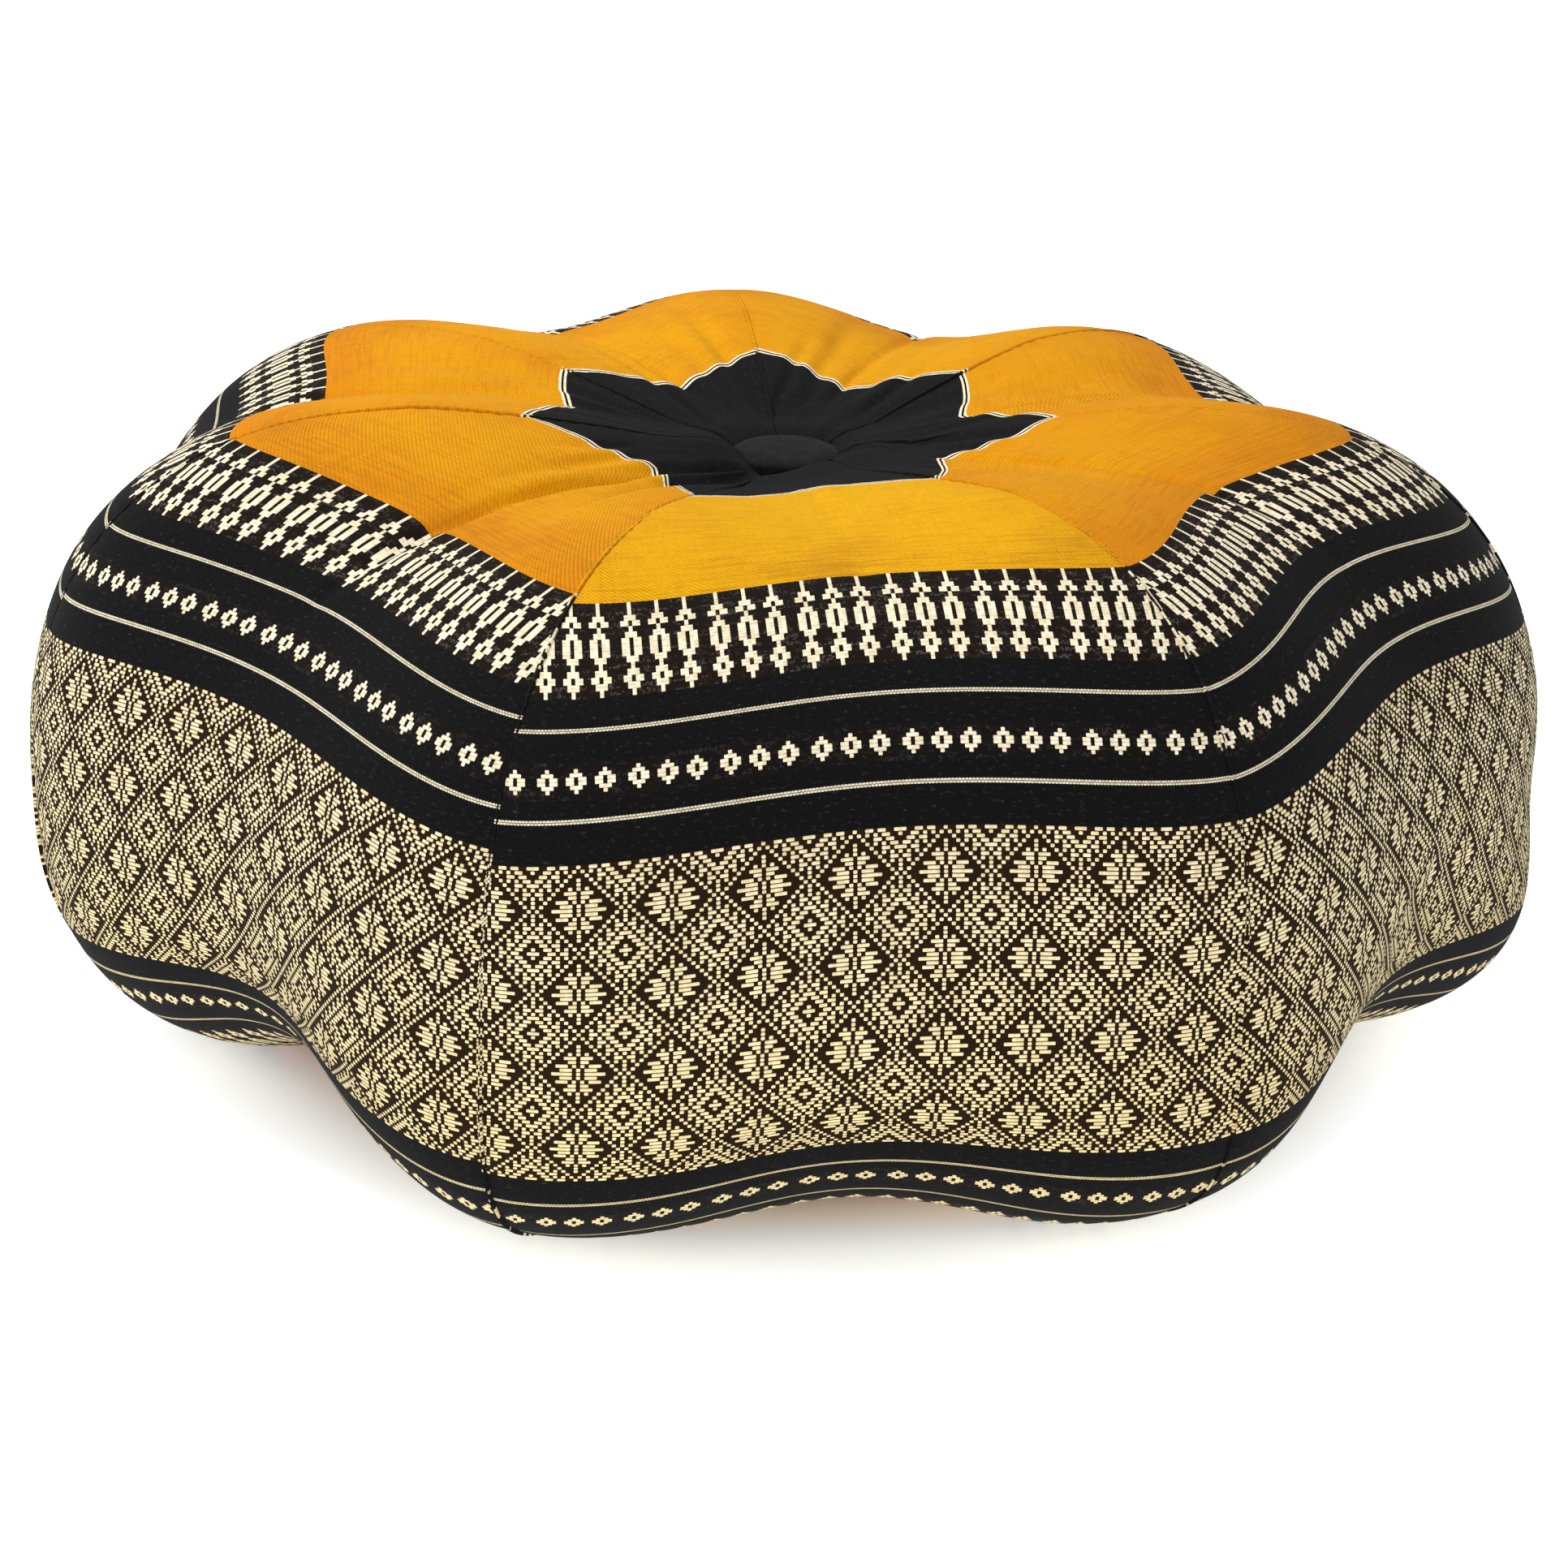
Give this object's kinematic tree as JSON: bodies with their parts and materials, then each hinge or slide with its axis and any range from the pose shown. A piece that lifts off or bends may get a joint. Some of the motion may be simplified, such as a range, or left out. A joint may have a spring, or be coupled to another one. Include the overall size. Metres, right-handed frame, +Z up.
{
  "type": "floor cushion",
  "caption": "Round floor cushion shaped like a flower, with a striped woven cover, rounded lobes and a button that pulls in its top centre.",
  "frame": {"origin": "on the floor, at the centre of the cushion's bounding box; the lobes' common axis stands about 6 mm from it", "axes": "+Z up, along the lobes' common axis from the bottom button to the top button; -Y is towards the side that the cushion is usually seen from"},
  "size_m": [0.494, 0.4952, 0.209],
  "materials": {
    "woven_cover": "cotton cloth in bands: matte black, yellow and orange shot twill, cream zigzag lines, figured bands and a diamond brocade in cream on black",
    "button_cloth": "matte black cotton",
    "button_wood": "plain turned wood",
    "kapok": "loose cream plant fibre, pressed firm",
    "tie_cord": "twisted cotton cord"
  },
  "bodies": {
    "root": {"cover_panel_1": "woven_cover", "cover_panel_2": "woven_cover", "cover_panel_3": "woven_cover", "cover_panel_4": "woven_cover", "cover_panel_5": "woven_cover", "cover_panel_6": "woven_cover", "cover_panel_7": "woven_cover", "kapok_filling": "kapok", "top_button_cloth": "button_cloth", "top_button_core": "button_wood", "bottom_button_cloth": "button_cloth", "bottom_button_core": "button_wood", "tie_cord": "tie_cord"}
  },
  "joints": []
}
